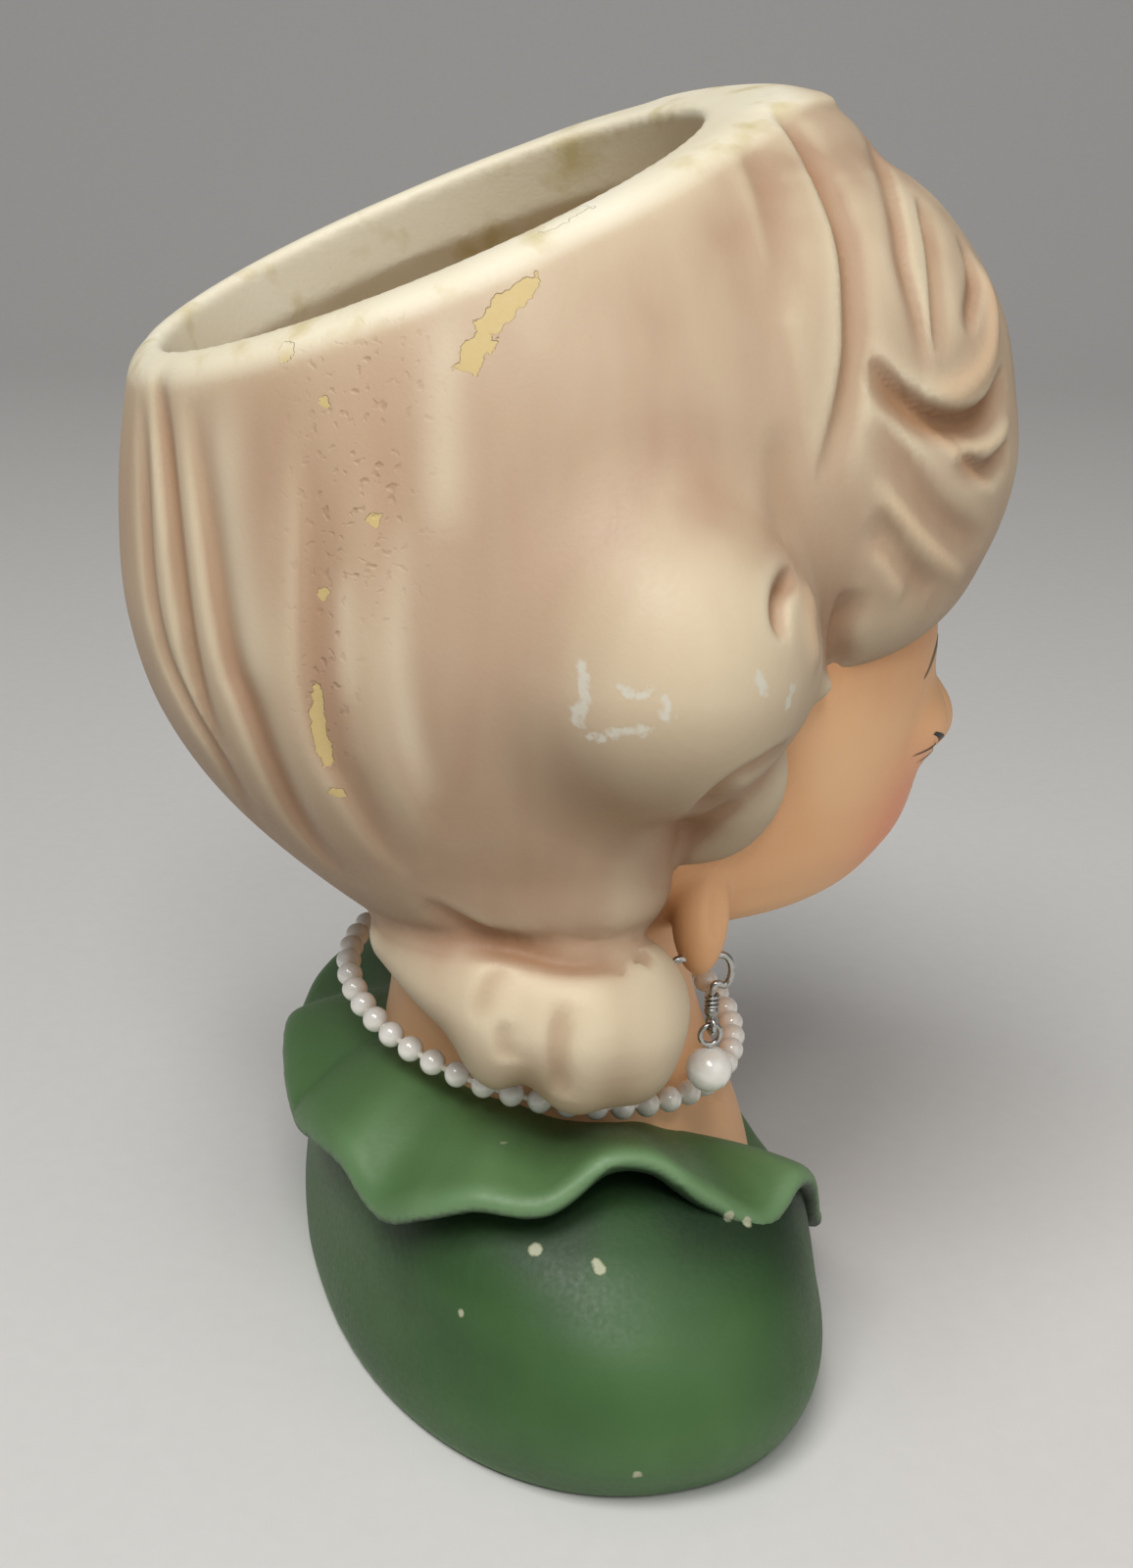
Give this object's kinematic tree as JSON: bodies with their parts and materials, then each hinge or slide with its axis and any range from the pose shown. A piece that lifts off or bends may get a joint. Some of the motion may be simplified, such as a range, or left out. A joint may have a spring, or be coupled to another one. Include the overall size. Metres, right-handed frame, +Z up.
{
  "type": "head planter",
  "caption": "ceramic lady-head planter with combed hair, an open sloping mouth, ruffled dress base, loose pearl necklace and swinging pearl drop earrings",
  "frame": {"origin": "centre of the flat foot on the floor", "axes": "+Z up, the face looks toward -Y, her right hand is -X"},
  "size_m": [0.1002, 0.0972, 0.1385],
  "materials": {
    "hair_paint": "matt cold paint in beige pink over bisque",
    "skin_paint": "matt peach cold paint",
    "dress_paint": "matt leaf green cold paint",
    "pearl": "nacre lacquer on plastic",
    "thread": "twisted thread",
    "plated_wire": "silver plated wire, slightly tarnished"
  },
  "bodies": {
    "vase": {"hair_casting": "hair_paint", "fringe_locks": "hair_paint", "right_side_roll": "hair_paint", "left_side_roll": "hair_paint", "right_flip_curl": "hair_paint", "left_flip_curl": "hair_paint", "face_and_neck": "skin_paint", "right_ear": "skin_paint", "left_ear": "skin_paint", "dress_base": "dress_paint", "ruffle_collar": "dress_paint"},
    "necklace": {"necklace_pearls": "pearl", "necklace_thread": "thread"},
    "right_hook": {"right_ear_wire": "plated_wire", "right_wire_coil": "plated_wire", "right_wire_ball": "plated_wire"},
    "right_drop": {"right_drop_link": "plated_wire", "right_drop_pearl": "pearl"},
    "left_hook": {"left_ear_wire": "plated_wire", "left_wire_coil": "plated_wire", "left_wire_ball": "plated_wire"},
    "left_drop": {"left_drop_link": "plated_wire", "left_drop_pearl": "pearl"}
  },
  "joints": [
    {"name": "necklace_turn", "type": "hinge", "parent": "vase", "child": "necklace", "pos_m": [0, 0.001, 0.036], "axis": [-0.1392, -0.172, 0.9752], "continuous": true},
    {"name": "right_hook_swing", "type": "hinge", "parent": "vase", "child": "right_hook", "pos_m": [-0.0263, -0.0085, 0.051], "axis": [0, 1, 0], "range_deg": [-12, 25]},
    {"name": "right_drop_swing", "type": "hinge", "parent": "right_hook", "child": "right_drop", "pos_m": [-0.0263, -0.0099, 0.0429], "axis": [1, 0, 0], "range_deg": [-30, 12]},
    {"name": "left_hook_swing", "type": "hinge", "parent": "vase", "child": "left_hook", "pos_m": [0.0263, -0.0085, 0.051], "axis": [0, 1, 0], "range_deg": [-25, 3]},
    {"name": "left_drop_swing", "type": "hinge", "parent": "left_hook", "child": "left_drop", "pos_m": [0.0263, -0.0099, 0.0429], "axis": [1, 0, 0], "range_deg": [-30, 12]}
  ]
}
